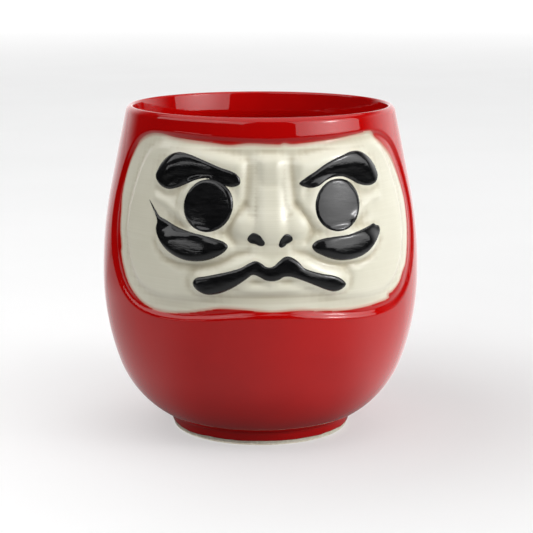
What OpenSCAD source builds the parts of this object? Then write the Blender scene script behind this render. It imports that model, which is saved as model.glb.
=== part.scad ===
// A daruma cup: a fired clay body, its glazes, the moulded ivory face and the
// black enamel strokes painted on it. The cup stands on the XY plane, its axis is
// +Z, and the face looks along -Y.

/* [Cup] */
// Height from the foot's resting face to the lip
cup_height = 92; // [76:1:112]
// Outer radius at the widest line
belly_radius = 44.6; // [36:0.2:54]
// Height of the widest line
belly_height = 44.5; // [38:0.5:56]
// Whole thickness of the wall, with the glaze on both sides
wall = 3.8; // [3:0.1:4.6]
// Thickness of a glaze coat
glaze = 0.4; // [0.2:0.05:0.6]
// Radius of the lip's outer rounding
lip_round = 2; // [1.4:0.1:2.4]
// Radius of the lip's inner rounding
lip_edge = 0.7; // [0.6:0.05:0.9]
// Slope at which one rounding passes into the other, in degrees
lip_turn = 65; // [50:1:80]
// Flare of the inside just under the lip, in degrees
lip_flare = 7.5; // [3:0.5:10]
// Rounding where that flare meets the inside wall
throat_round = 8; // [4:1:16]
// Lean of the straight wall under the lip, in degrees
lip_lean = 11.8; // [6:0.2:14]
// Radius of the wall's arc above the widest line
upper_arc = 123; // [90:1:150]
// Radius of the wall's arc below the widest line
lower_arc = 73; // [65:1:110]
// How far that arc turns before the bottom arc begins, in degrees
lower_turn = 19.5; // [12:0.5:22]
// Height of the inside floor
floor_height = 7.5; // [6:0.25:10]
// Rounding between the inside wall and the floor
floor_fillet = 8; // [6:0.5:10]

/* [Foot] */
// Outer radius of the foot ring
foot_radius = 25.6; // [21:0.2:31]
// Height of the foot ring on its outside
foot_height = 3.8; // [3:0.1:4.6]
// How much the ring narrows towards the table
foot_taper = 0.4; // [0:0.1:1]
// Width of the ring's resting face and chamfers together
foot_width = 4; // [3:0.1:6]
// Depth of the hollow inside the ring
foot_hollow = 2.5; // [2:0.1:3]
// Chamfer on the ring's outer edge
foot_chamfer = 0.4; // [0.2:0.1:0.8]
// Height of the bare clay left below the red glaze
bare_band = 1.3; // [0.8:0.1:2]
// Bare clay left round the glaze inside the foot ring
wiped_edge = 0.8; // [0.4:0.1:2]

/* [Face] */
// Width of the moulded face, measured round the cup
face_width = 107; // [90:1:120]
// Height of the moulded face
face_height = 47; // [40:1:52]
// Red band between the lip and the face
lip_band = 4.5; // [3.5:0.5:8]
// Depth of the face's flat border below the cup's surface
recess = 1; // [0.6:0.1:1.4]
// Thickness of the face under its flat border
panel_base = 0.8; // [0.5:0.1:1.2]
// Gap between the face and the pocket that it fills
seat = 0.03; // [0.02:0.01:0.1]
// Height of the tip of the nose above the flat border
nose_height = 3.5; // [2.5:0.1:4.5]
// Height of the face's mass above the flat border
mass_height = 0.8; // [0.4:0.1:1.4]

/* [Enamel] */
// Height of a painted stroke above the face
enamel = 0.3; // [0.15:0.05:0.6]
// Depth to which a stroke has melted into the face's glaze
enamel_root = 0.3; // [0.2:0.05:0.4]

/* [Hidden] */

// Colours
clay_colour = [0.86, 0.83, 0.76];
red_colour = [0.72, 0.07, 0.06];
clear_colour = [0.90, 0.89, 0.83];
ivory_colour = [0.90, 0.89, 0.82];
black_colour = [0.03, 0.03, 0.035];

// Steps in each arc of the profile, and cells along and across a stroke
arc_steps = 14;
panel_cells = [72, 30];
stroke_cells = [20, 4];
smooth = 180;

// ---- Profile of the cup: tangent arcs, all of them offset inwards by a depth d ----

lower_centre = [belly_radius - lower_arc, belly_height];
lower_end = lower_centre + lower_arc * [cos(lower_turn), -sin(lower_turn)];
// The bottom arc leaves the lower arc without a corner and ends at the foot ring.
foot_top = [foot_radius, foot_height];
to_foot = lower_end - foot_top;
turn_normal = [cos(lower_turn), -sin(lower_turn)];
bottom_arc = (to_foot * to_foot) / (2 * (to_foot * turn_normal));
bottom_centre = lower_end - bottom_arc * turn_normal;

upper_centre = [belly_radius - upper_arc, belly_height];
upper_turn = min(lip_lean, asin((cup_height - belly_height - 4 * wall) / upper_arc));
lean_normal = [cos(upper_turn), sin(upper_turn)];
upper_end = upper_centre + upper_arc * lean_normal;

// The fillet's centre serves every offset, because it is an offset itself.
cavity_arc = bottom_arc - wall;
fillet_z = floor_height + floor_fillet;
fillet_centre = [
    bottom_centre[0] + sqrt(pow(cavity_arc - floor_fillet, 2) - pow(fillet_z - bottom_centre[1], 2)),
    fillet_z
];
fillet_turn = atan2(fillet_centre[1] - bottom_centre[1], fillet_centre[0] - bottom_centre[0]);

// The lip's two roundings touch where both have the slope lip_turn, just outside its ridge.
lip_step = (lip_round - lip_edge) * [cos(lip_turn), sin(lip_turn)];
lip_z = cup_height - lip_edge - lip_step[1];
lip_outer = [(upper_end * lean_normal - lip_round - lip_z * lean_normal[1]) / lean_normal[0], lip_z];
lip_inner = lip_outer + lip_step;

// Under the lip the inside flares, so the wall is thinnest there. The throat's arc
// touches both the flare and the leaning inside wall.
flare_normal = [-cos(lip_flare), sin(lip_flare)];
flare_line = lip_inner * flare_normal + lip_edge;
throat_line = upper_end * lean_normal - wall;
throat_half = (upper_turn + lip_flare) / 2;

// The point at the given places along the wall's normal and the flare's normal
function meeting(a, b) =
    [a * sin(lip_flare) - b * sin(upper_turn), b * cos(upper_turn) + a * cos(lip_flare)]
    / sin(upper_turn + lip_flare);

flare_length = norm(meeting(throat_line, flare_line) - (lip_inner + lip_edge * flare_normal));
throat_arc = min(throat_round, 0.95 * flare_length / tan(throat_half));
throat_centre = meeting(throat_line + throat_arc, flare_line - throat_arc);

function arc(centre, radius, from, to) = [
    for (i = [0 : arc_steps])
        let (a = from + (to - from) * i / arc_steps)
        centre + radius * [cos(a), sin(a)]
];

function reversed(points) = [for (i = [len(points) - 1 : -1 : 0]) points[i]];

// Height at which the bottom arc at depth d meets the foot ring's outside
function foot_top_z(d) =
    bottom_centre[1] - sqrt(pow(bottom_arc - d, 2) - pow(foot_radius - d - bottom_centre[0], 2));

// Radius of the foot ring's outside at height z
function foot_r(z, d) = foot_radius - d - foot_taper * (1 - z / foot_height);

// The outside from the foot ring's top to where the lip's roundings touch, at depth d
function outside(d) =
    let (top = foot_top_z(d), start = asin((top - bottom_centre[1]) / (bottom_arc - d)))
    concat(
        arc(bottom_centre, bottom_arc - d, start, -lower_turn),
        arc(lower_centre, lower_arc - d, -lower_turn, 0),
        arc(upper_centre, upper_arc - d, 0, upper_turn),
        arc(lip_outer, lip_round - d, upper_turn, lip_turn)
    );

// The inside from there to the middle of the floor, with the clay d behind it
function inside(d) =
    let (depth = wall - d)
    concat(
        arc(lip_inner, lip_edge - d, lip_turn, 180 - lip_flare),
        arc(throat_centre, throat_arc - d, 180 - lip_flare, 180 + upper_turn),
        reversed(arc(upper_centre, upper_arc - depth, 0, upper_turn)),
        reversed(arc(lower_centre, lower_arc - depth, -lower_turn, 0)),
        reversed(arc(bottom_centre, bottom_arc - depth, fillet_turn, -lower_turn)),
        reversed(arc(fillet_centre, floor_fillet + d, -90, fillet_turn)),
        [[0, floor_height - d]]
    );

// Radius of the surface at depth d below the outside, at height z on the wall
function wall_r(z, d) =
    z > upper_end[1] ? (upper_end * lean_normal - d - z * lean_normal[1]) / lean_normal[0]
    : z > belly_height ? upper_centre[0] + sqrt(pow(upper_arc - d, 2) - pow(z - belly_height, 2))
    : z > lower_end[1] ? lower_centre[0] + sqrt(pow(lower_arc - d, 2) - pow(z - belly_height, 2))
    : bottom_centre[0] + sqrt(pow(bottom_arc - d, 2) - pow(z - bottom_centre[1], 2));

// ---- The face's own coordinates: u round the cup to the right, v up, both in mm ----

drawn_width = 107;
drawn_height = 47;
stretch = [face_width / drawn_width, face_height / drawn_height];
face_middle = cup_height - lip_band - face_height / 2;
wrap_radius = belly_radius - 2.6;
pocket_depth = recess + panel_base;
// The strokes are drawn for a plain cup, and sit closer to the middle on the raised face.
stroke_scale = 0.96;

function on_cup(u, v, d) =
    let (z = face_middle + v * stretch[1], a = u * stretch[0] / wrap_radius * 180 / PI, r = wall_r(z, d))
    [r * sin(a), -r * cos(a), z];

// Upper and lower edge of the window at each distance from its middle, as [|u|, top, bottom]
window_edge = [
    [0, 21.6, -22.8], [20, 22.2, -23.4], [33, 22.8, -23.6], [42, 20.8, -19.6],
    [48, 17, -14.2], [52, 10.4, -7.6], [53.4, 1.2, 0.8]
];
window_mid = 1;
// Columns of the panel's grid, close together at the nose and at the window's ends
window_columns = [
    [-36, -53.4], [-34, -52.9], [-31, -50.5], [-26, -43], [-18, -26], [-14, -16], [-10, -10.5],
    [10, 10.5], [14, 16], [18, 26], [26, 43], [31, 50.5], [34, 52.9], [36, 53.4]
];

// Each stroke is a list of [u, v, half width] along its middle line.
brow_left_stroke = [
    [-33.4, 10.3, 0.3], [-32, 11.4, 3], [-29.6, 13.2, 4.2], [-26, 14.3, 4.2], [-21.5, 14.7, 3],
    [-17, 14.1, 2.1], [-12.5, 13.2, 1.9], [-9.5, 12.4, 1.6], [-8, 12.1, 0.3]
];
brow_right_stroke = [
    [7.8, 11.1, 0.2], [11, 11.9, 1.3], [15, 13.2, 2.1], [20, 14.6, 2.6], [25, 14.9, 3.5],
    [29, 14.2, 4.2], [32, 12.6, 3.8], [34, 10.8, 2.2], [34.8, 9.9, 0.3]
];
eye_left_stroke = [[-24, 5.2, 0.3], [-20.5, 5.2, 5.7], [-17, 5.1, 6.6], [-13.5, 5.2, 5.7], [-10, 5.2, 0.3]];
eye_right_stroke = [[12.3, 5.2, 0.3], [15.8, 5.2, 5.7], [19.4, 5.1, 6.6], [23, 5.2, 5.7], [26.5, 5.2, 0.3]];
cheek_left_stroke = [
    [-32, 1.2, 0.3], [-31, -1.2, 2.3], [-28, -3.8, 3.8], [-23, -5.5, 3.9], [-18, -5.8, 3.5],
    [-14, -5.3, 2.5], [-11, -4.5, 0.3]
];
cheek_left_hair = [[-36.1, 5.3, 0.12], [-34.6, 3.7, 0.2], [-33, 2.2, 0.25], [-31.6, 0.9, 0.5]];
cheek_right_stroke = [
    [11, -5, 0.3], [13.5, -5.5, 2.1], [18, -6.3, 3], [23, -6.1, 3.3], [27.5, -4.8, 3.2],
    [31, -2.8, 2], [32.4, -1.5, 0.3]
];
nostril_left_stroke = [[-5.9, -2.8, 0.4], [-4.8, -2.8, 1], [-3.2, -3.4, 1.1], [-1.9, -4.2, 0.4]];
nostril_right_stroke = [[2.2, -4.3, 0.4], [3.1, -3.6, 0.9], [4.4, -2.9, 1], [5.6, -2.8, 0.4]];
moustache_stroke = [
    [-20.1, -14.6, 0.3], [-17, -15.2, 2.2], [-12.5, -14.4, 2.4], [-8, -12.3, 1.9], [-4.4, -10.5, 1.7],
    [-1, -11.8, 1.7], [1.2, -11.8, 1.8], [4.4, -10.1, 2.3], [8, -12.2, 1.9], [12.5, -14.3, 1.7],
    [17, -15.4, 2], [20.3, -15.8, 0.3]
];

// ---- Smooth curves ----

// Value at x of a smooth curve through the [x, value, ...] rows of a table
function blend(t, a, b, slope_a, slope_b) =
    (2 * t * t * t - 3 * t * t + 1) * a + (t * t * t - 2 * t * t + t) * slope_a
    + (3 * t * t - 2 * t * t * t) * b + (t * t * t - t * t) * slope_b;

function along(rows, t) =
    let (
        last = len(rows) - 1, x = t * last, i = min(floor(x), last - 1),
        before = rows[max(i - 1, 0)], a = rows[i], b = rows[i + 1], after = rows[min(i + 2, last)]
    )
    blend(x - i, a, b, (b - before) / 2, (after - a) / 2);

function segment(table, x, i = 0) =
    i >= len(table) - 2 || x < table[i + 1][0] ? i : segment(table, x, i + 1);

function curve(table, x) =
    let (
        last = len(table) - 1, i = segment(table, x), a = table[i], b = table[i + 1],
        before = table[max(i - 1, 0)], after = table[min(i + 2, last)], span = b[0] - a[0],
        t = min(max((x - a[0]) / span, 0), 1)
    )
    blend(
        t, a[1], b[1],
        span * (b[1] - before[1]) / (b[0] - before[0]), span * (after[1] - a[1]) / (after[0] - a[0])
    );

function ease(from, to, x) = let (t = min(max((x - from) / (to - from), 0), 1)) t * t * (3 - 2 * t);

function bell(x) = exp(-x * x);

// Distance from a point to a line of points
function to_segment(p, a, b) =
    let (ab = b - a, t = min(max(((p - a) * ab) / (ab * ab), 0), 1)) norm(p - a - t * ab);

function to_path(p, path) = min([for (i = [0 : len(path) - 2]) to_segment(p, path[i], path[i + 1])]);

// ---- Relief of the face above its flat border, the same on both sides ----

mass_top = [[0, 18], [5, 17.9], [8, 17.2], [12, 18.4], [20, 20], [28, 20.5], [36, 19.8], [42, 17], [46, 11]];
mass_bottom = [[0, -18.4], [10, -18.8], [20, -19.8], [30, -19.9], [36, -18], [41, -13.5], [45, -7]];
mass_side = 46.5;
brow_crest = [[6, 14.4], [12, 14.5], [20, 15.6], [27, 15], [34, 11.8]];
nose_ridge = [
    [-10, 0.05], [-8, 0.16], [-6, 0.3], [-4.4, 0.56], [-2.8, 0.86], [-1.2, 1], [1, 0.93], [4, 0.74],
    [7, 0.58], [9.4, 0.44], [10.6, 0.4], [12, 0.5], [14.5, 0.6], [16.4, 0.52], [17.6, 0.3], [18.6, 0]
];
nose_side = [[-10, 2.2], [-7, 3.4], [-5, 5], [-3, 6.3], [0, 6.2], [4, 5.6], [8, 5.3], [12, 5.2], [18, 5.1]];
crease = [[6.4, 17], [6.6, 11], [7, 7], [8.6, 4.6], [10.8, 2.4], [11.8, 0], [11.4, -2.6], [9.6, -4.6]];
fold = [[9, -7], [14, -9.8], [19, -11.2], [24, -11.2], [29, -9.4], [33, -6]];
lip_crest = [[0, -10.6], [4.2, -9.8], [8, -11.9], [12.5, -14], [17, -15], [19.5, -15.4]];

ala = [7.6, 0.4, 2.9];
cheek = [21.5, -5.4, 12, 5.6];
eyeball = [17.6, 5.2, 9, 8];
chin = [0, -16.6, 12, 2];

function dome(p, at) = max(0, 1 - pow((p[0] - at[0]) / at[2], 2) - pow((p[1] - at[1]) / at[3], 2));

function relief(u, v) =
    let (
        a = abs(u), p = [a, v],
        mass = ease(-1.4, 1.4, curve(mass_top, a) - v) * ease(-1.4, 1.4, v - curve(mass_bottom, a))
            * ease(-1.8, 1.8, mass_side - a),
        brow = 1.3 * bell((v - curve(brow_crest, a)) / 3.8) * ease(5, 8, a) * (1 - ease(29, 38, a)),
        eye = 0.5 * ease(0, 0.6, dome(p, eyeball)),
        cheeks = 1.1 * ease(0, 1, dome(p, cheek)),
        lip = 1.2 * bell(to_path(p, lip_crest) / 2.7),
        lower_lip = 0.4 * ease(0, 1, dome(p, chin)),
        cut = 0.45 * bell(to_path(p, crease) / 1.5) + 0.3 * bell(to_path(p, fold) / 1.6),
        soft = mass * (mass_height + max(brow, cheeks) + eye + lip + lower_lip - cut),
        side = curve(nose_side, v),
        nose = v < -10 || v > 18.6 ? 0
            : nose_height * curve(nose_ridge, v) * (1 - ease(side - 1.8, side + 1.6, a)),
        wing = 0.72 * nose_height * bell(norm(p - [ala[0], ala[1]]) / ala[2])
    )
    max(soft, nose, mass * mass_height + wing - cut);

// ---- Solids made of a grid of points ----

// A closed slab between two grids of the same size
module slab(low, high) {
    rows = len(low);
    cols = len(low[0]);
    count = rows * cols;
    points = concat([for (r = low) each r], [for (r = high) each r]);
    function at(i, j, k) = k * count + i * cols + j;
    cells = [for (i = [0 : rows - 2], j = [0 : cols - 2]) [i, j]];
    faces = concat(
        [for (c = cells) each [
            [at(c[0], c[1], 1), at(c[0] + 1, c[1], 1), at(c[0] + 1, c[1] + 1, 1)],
            [at(c[0], c[1], 1), at(c[0] + 1, c[1] + 1, 1), at(c[0], c[1] + 1, 1)],
            [at(c[0] + 1, c[1] + 1, 0), at(c[0] + 1, c[1], 0), at(c[0], c[1], 0)],
            [at(c[0], c[1] + 1, 0), at(c[0] + 1, c[1] + 1, 0), at(c[0], c[1], 0)]
        ]],
        [for (i = [0 : rows - 2], j = [0, cols - 1])
            let (a = at(i, j, 0), b = at(i + 1, j, 0), c = at(i + 1, j, 1), d = at(i, j, 1))
            each (j == 0 ? [[a, b, c], [a, c, d]] : [[c, b, a], [d, c, a]])],
        [for (j = [0 : cols - 2], i = [0, rows - 1])
            let (a = at(i, j, 0), b = at(i, j + 1, 0), c = at(i, j + 1, 1), d = at(i, j, 1))
            each (i == 0 ? [[c, b, a], [d, c, a]] : [[a, b, c], [a, c, d]])]
    );
    // The faces above are listed anticlockwise seen from outside, and are turned over here.
    polyhedron(points, [for (f = faces) [f[2], f[1], f[0]]], convexity = 6);
}

// Grid of [u, v, t across from -1 to 1] that covers a stroke. Squared half widths are
// smoothed, so that a stroke ends round.
function stroke_grid(stroke, cells, shrink = 0) = [
    for (i = [0 : cells[0]])
        let (
            t = i / cells[0], step = 0.002,
            here = along([for (s = stroke) [s[0], s[1], s[2] * s[2]]], t),
            ahead = along(stroke, min(t + step, 1)), behind = along(stroke, max(t - step, 0)),
            dir = [ahead[0] - behind[0], ahead[1] - behind[1]], side = [-dir[1], dir[0]] / norm(dir),
            half = max(sqrt(max(here[2], 0)), 0.12) - shrink
        )
        [for (j = [0 : cells[1]])
            let (w = 2 * j / cells[1] - 1)
            [stroke_scale * (here[0] + side[0] * half * w), here[1] + side[1] * half * w, w]]
];

function grid_at(grid, depth) = [for (row = grid) [for (p = row) on_cup(p[0], p[1], depth)]];

function grid_on_face(grid, lift, edge_lift) = [
    for (row = grid) [
        for (p = row)
            on_cup(p[0], p[1], recess - relief(p[0], p[1]) - lift + (lift - edge_lift) * pow(p[2], 4))
    ]
];

// Distance from the window's middle line to its edge, squared in between so that the ends are round
function window_half(u, side) =
    sqrt(max(curve([for (e = window_edge) [e[0], pow(e[side] - window_mid, 2)]], abs(u)), 0));

function window_grid(cells, shrink = 0) = [
    for (i = [0 : cells[0]])
        let (
            u = curve(window_columns, i * 72 / cells[0] - 36),
            top = window_mid + window_half(u, 1) - shrink,
            bottom = window_mid - window_half(u, 2) + shrink
        )
        [for (j = [0 : cells[1]])
            [u * (1 - 2 * shrink / drawn_width), bottom + (top - bottom) * j / cells[1], 0]]
];

module window_cutter() {
    grid = window_grid([panel_cells[0], 1]);
    slab(
        [for (row = grid) [for (p = row) on_cup(p[0], p[1], belly_radius / 2)]],
        [for (row = grid) [for (p = row) on_cup(p[0], p[1], -belly_radius / 2)]]
    );
}

module stroke_solid(stroke) {
    grid = stroke_grid(stroke, stroke_cells);
    slab(grid_on_face(grid, -enamel_root, -enamel_root), grid_on_face(grid, enamel, enamel / 2));
}

// ---- Sub-parts ----

module turned(points) rotate_extrude($fn = smooth) polygon(points);

// The ring of wall from the bottom of the face's pocket outwards
module pocket_ring() {
    reach = 2 * belly_radius;
    turned(concat([[reach, cup_height]], [[reach, foot_height]], [for (p = outside(pocket_depth)) p]));
}

module clay_body() {
    hollow_r = foot_radius - foot_width;
    rim = foot_r(0, glaze);
    color(clay_colour) difference() {
        turned(concat(
            [[0, foot_hollow], [hollow_r, foot_hollow], [hollow_r, 0], [rim - foot_chamfer, 0]],
            [[rim, foot_chamfer], [foot_r(bare_band, glaze), bare_band]],
            outside(glaze),
            inside(glaze)
        ));
        intersection() {
            window_cutter();
            pocket_ring();
        }
    }
}

module outer_glaze() {
    color(red_colour) difference() {
        turned(concat(
            [[foot_r(bare_band, glaze), bare_band], [foot_r(bare_band, 0), bare_band]],
            outside(0),
            reversed(outside(glaze))
        ));
        window_cutter();
    }
}

module inner_glaze() {
    color(red_colour) turned(concat(inside(0), reversed(inside(glaze))));
}

module base_glaze() {
    radius = foot_radius - foot_width - wiped_edge;
    color(clear_colour) translate([0, 0, foot_hollow - glaze]) cylinder(h = glaze, r = radius, $fn = smooth);
}

module face_panel() {
    grid = window_grid(panel_cells, seat);
    low = grid_at(grid, pocket_depth - seat);
    color(ivory_colour) slab(low, grid_on_face(grid, 0, 0));
}

module enamel_strokes(strokes) color(black_colour) for (s = strokes) stroke_solid(s);

clay_body();
outer_glaze();
inner_glaze();
base_glaze();
face_panel();
enamel_strokes([brow_left_stroke]);  // brow_left
enamel_strokes([brow_right_stroke]);  // brow_right
enamel_strokes([eye_left_stroke]);  // eye_left
enamel_strokes([eye_right_stroke]);  // eye_right
enamel_strokes([cheek_left_stroke, cheek_left_hair]);  // cheek_left
enamel_strokes([cheek_right_stroke]);  // cheek_right
enamel_strokes([nostril_left_stroke]);  // nostril_left
enamel_strokes([nostril_right_stroke]);  // nostril_right
enamel_strokes([moustache_stroke]);  // moustache
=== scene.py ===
import math

import bpy
import numpy as np
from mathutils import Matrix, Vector, noise
from mathutils.geometry import delaunay_2d_cdt


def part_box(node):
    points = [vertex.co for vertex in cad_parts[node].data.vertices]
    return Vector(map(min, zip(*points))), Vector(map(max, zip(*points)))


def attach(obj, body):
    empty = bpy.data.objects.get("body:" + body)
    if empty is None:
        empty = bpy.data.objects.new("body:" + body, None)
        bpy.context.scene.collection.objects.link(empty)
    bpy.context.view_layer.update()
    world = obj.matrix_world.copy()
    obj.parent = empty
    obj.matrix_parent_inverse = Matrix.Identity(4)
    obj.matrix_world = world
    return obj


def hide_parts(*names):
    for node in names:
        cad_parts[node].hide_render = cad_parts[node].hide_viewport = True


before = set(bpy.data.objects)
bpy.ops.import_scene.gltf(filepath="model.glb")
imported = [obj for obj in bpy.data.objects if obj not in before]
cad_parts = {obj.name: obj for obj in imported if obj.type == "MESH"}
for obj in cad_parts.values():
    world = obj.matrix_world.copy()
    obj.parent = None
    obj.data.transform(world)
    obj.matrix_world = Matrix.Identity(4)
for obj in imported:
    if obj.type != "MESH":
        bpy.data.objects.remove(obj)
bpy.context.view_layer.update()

MM = 0.001

# ---------------------------------------------------------------- sizes, in mm
# The height and the widest radius come from the frame; the rest repeat the cup's own design.
low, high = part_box("outer_glaze")
HEIGHT = high[2] / MM
BELLY = (high[0] - low[0]) / 2 / MM
BELLY_Z = 44.5
WALL = 3.8
GLAZE = 0.4
LIP = 2.0
EDGE = 0.7
LIP_TURN = math.radians(65)
THROAT = 8.0
FLARE = math.radians(7.5)
LEAN = math.radians(11.8)
UPPER = 123.0
LOWER = 73.0
TURN = math.radians(19.5)
FLOOR = 7.5
FILLET = 8.0
FOOT_R = 25.6
FOOT_H = 3.8
FOOT_TAPER = 0.4
FOOT_W = 4.0
HOLLOW = 2.5
CHAMFER = 0.4
BARE = 1.3
WRAP = 42.0
RECESS = 1.0

# The camera: turned from the face's direction, its distance from the axis and height in mm,
# tilted down, its focal length in mm, and the picture's shift as a share of its width.
TURNED = math.radians(3.6)
CAMERA_FAR, CAMERA_HIGH, CAMERA_DOWN = 466.0, 139.4, 0.199
FOCAL, SHIFT = 112.55, 0.01139

# ---------------------------------------------------------------- profile of the cup


def vec(x, y):
    return np.array([x, y], float)


low_c = vec(BELLY - LOWER, BELLY_Z)
low_n = vec(math.cos(TURN), -math.sin(TURN))
low_end = low_c + LOWER * low_n
reach = low_end - vec(FOOT_R, FOOT_H)
BOTTOM = reach @ reach / (2 * reach @ low_n)
bot_c = low_end - BOTTOM * low_n
up_c = vec(BELLY - UPPER, BELLY_Z)
lean_n = vec(math.cos(LEAN), math.sin(LEAN))
lean_up = vec(-math.sin(LEAN), math.cos(LEAN))
up_end = up_c + UPPER * lean_n
lean_d = up_end @ lean_n
lip_step = (LIP - EDGE) * vec(math.cos(LIP_TURN), math.sin(LIP_TURN))
lip_z = HEIGHT - EDGE - lip_step[1]
lip_out = vec((lean_d - LIP - lip_z * lean_n[1]) / lean_n[0], lip_z)
lip_in = lip_out + lip_step
flare_n = vec(-math.cos(FLARE), math.sin(FLARE))
throat_a = lean_d - WALL + THROAT
throat_b = lip_in @ flare_n + EDGE - THROAT
throat_c = vec(
    throat_a * math.sin(FLARE) - throat_b * math.sin(LEAN),
    throat_b * math.cos(LEAN) + throat_a * math.cos(FLARE),
) / math.sin(LEAN + FLARE)
cavity = BOTTOM - WALL
fil_z = FLOOR + FILLET
fil_c = vec(bot_c[0] + math.sqrt((cavity - FILLET) ** 2 - (fil_z - bot_c[1]) ** 2), fil_z)
fil_turn = math.atan2(fil_c[1] - bot_c[1], fil_c[0] - bot_c[0])


def wall_r(z, d=0.0):
    """Radius of the surface at depth d below the outside, at height z of the wall."""
    straight = (lean_d - d - z * lean_n[1]) / lean_n[0]
    upper = up_c[0] + np.sqrt(np.maximum((UPPER - d) ** 2 - (z - BELLY_Z) ** 2, 0))
    lower = low_c[0] + np.sqrt(np.maximum((LOWER - d) ** 2 - (z - BELLY_Z) ** 2, 0))
    bottom = bot_c[0] + np.sqrt(np.maximum((BOTTOM - d) ** 2 - (z - bot_c[1]) ** 2, 0))
    out = np.where(z > low_end[1], lower, bottom)
    out = np.where(z > BELLY_Z, upper, out)
    return np.where(z > up_end[1], straight, out)


def arc(c, r, a, b, step):
    n = max(3, int(abs(b - a) * r / step))
    t = np.linspace(a, b, n + 1)
    return np.stack([c[0] + r * np.cos(t), c[1] + r * np.sin(t)], 1)


def chain(*parts):
    """Joins lines of points, leaving out the repeated ones."""
    out = []
    for p in np.concatenate([np.atleast_2d(p) for p in parts]):
        if not out or np.hypot(*(p - out[-1])) > 1e-4:
            out.append(p)
    return np.array(out)


LEAN_RUN, THROAT_RUN = 22, 15  # rough lengths of the straight stretches, to space their rows


def foot_r(z, d=0.0):
    return FOOT_R - d - FOOT_TAPER * (1 - z / FOOT_H)


def outside(d, step, fillet=0.9):
    """The outside from the foot ring's top to the lip's ridge, at depth d. The corner at
    the foot's top is rounded, because glaze pools there."""
    b = BOTTOM - d
    # the rounding touches the foot's side and the bottom arc from outside
    cx = FOOT_R - d + fillet
    cz = bot_c[1] - math.sqrt((b + fillet) ** 2 - (cx - bot_c[0]) ** 2)
    a = math.atan2(bot_c[1] - cz, bot_c[0] - cx)
    start = math.atan2(cz - bot_c[1], cx - bot_c[0])
    lean_run = (lip_out - up_end) @ lean_up * lean_up
    quarter = arc((cx, cz), fillet, math.pi, a if a > 0 else a + 2 * math.pi, 0.12)
    return chain(
        quarter,
        arc(bot_c, b, start, -TURN, step),
        arc(low_c, LOWER - d, -TURN, 0, step),
        arc(up_c, UPPER - d, 0, LEAN, step),
        [up_end - d * lean_n + lean_run * t for t in np.linspace(0.02, 0.98, int(LEAN_RUN / step))],
        arc(lip_out, LIP - d, LEAN, LIP_TURN, 0.14),
    )


def inside(d, step):
    """The inside from the lip's ridge to the middle of the floor, with the clay d behind it."""
    e = WALL - d
    throat_end = throat_c - (THROAT - d) * lean_n
    throat_run = (up_end - throat_end) @ lean_up * lean_up
    return chain(
        arc(lip_in, EDGE - d, LIP_TURN, math.pi - FLARE, 0.09),
        arc(throat_c, THROAT - d, math.pi - FLARE, math.pi + LEAN, 0.6),
        [throat_end + throat_run * t for t in np.linspace(0.04, 0.96, int(THROAT_RUN / step))],
        arc(up_c, UPPER - e, LEAN, 0, step),
        arc(low_c, LOWER - e, 0, -TURN, step),
        arc(bot_c, BOTTOM - e, -TURN, fil_turn, step),
        arc(fil_c, FILLET + d, fil_turn, -math.pi / 2, step),
        [(fil_c[0] * t, FLOOR - d) for t in np.linspace(0.94, 0.06, int(fil_c[0] / step))],
    )


# ---------------------------------------------------------------- shapes of the face
# Closed outlines in face coordinates: mm round the cup to the right, and height.

# Their places are right as seen from the camera, so settle() moves them along its lines of sight.
FRONT = np.array([-math.sin(TURNED) * CAMERA_FAR, -math.cos(TURNED) * CAMERA_FAR, CAMERA_HIGH])

WINDOW = [  # where the red glaze stops
    (50, 65), (49, 70), (46.6, 75), (44.2, 79), (40, 82.8), (36.4, 85.2), (34.8, 86.8), (30, 86.7),
    (19, 85.8),
    (12, 85.3), (6.5, 85), (4, 85.3), (3, 85), (0, 85.1), (-6, 85.3), (-11.5, 84.8), (-18.3, 85.3),
    (-28.9, 86), (-35, 86.6), (-40, 86.1), (-44.5, 84), (-48, 79.8), (-50, 75), (-50.8, 69), (-50, 65),
    (-49.3, 60), (-47.5, 55), (-47.6, 53.8), (-45.4, 49.4), (-43, 46), (-38, 42.3), (-33.5, 40.7),
    (-29, 40.2),
    (-21.6, 41), (-16, 42.2), (-12.8, 42.8), (-7.2, 42.7), (0, 42.1), (7.4, 42.3), (13.2, 41.8),
    (21.3, 41.2), (32, 41.7), (36.2, 42.3), (35.4, 43.1), (37.6, 43.6), (41.6, 45.6), (44, 48.2), (46, 49.8),
    (48.2, 54.7), (49.6, 59.5),
]
POCKET = [  # the crest of the moulded recess round the face
    (53.4, 65), (52.4, 72), (49.8, 78.2), (45.6, 83.4), (40, 86.4), (33, 87.4), (20, 87.1), (8, 86.8),
    (0, 86.6),
    (-8, 86.8), (-20, 87.1), (-33, 87.5), (-40, 87), (-45.8, 84.6), (-50.2, 79.4), (-52.7, 72), (-53.4, 65),
    (-52.4, 57.6), (-49.4, 50.4), (-44.6, 44.2), (-38.5, 40.6), (-29, 39), (-16, 39.8), (-7, 40.8), (0, 40.9),
    (7, 40.8), (16, 39.8), (29, 39), (38.5, 40.2), (44.8, 43.8), (49.4, 49.8), (52.4, 57.6),
]
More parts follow.
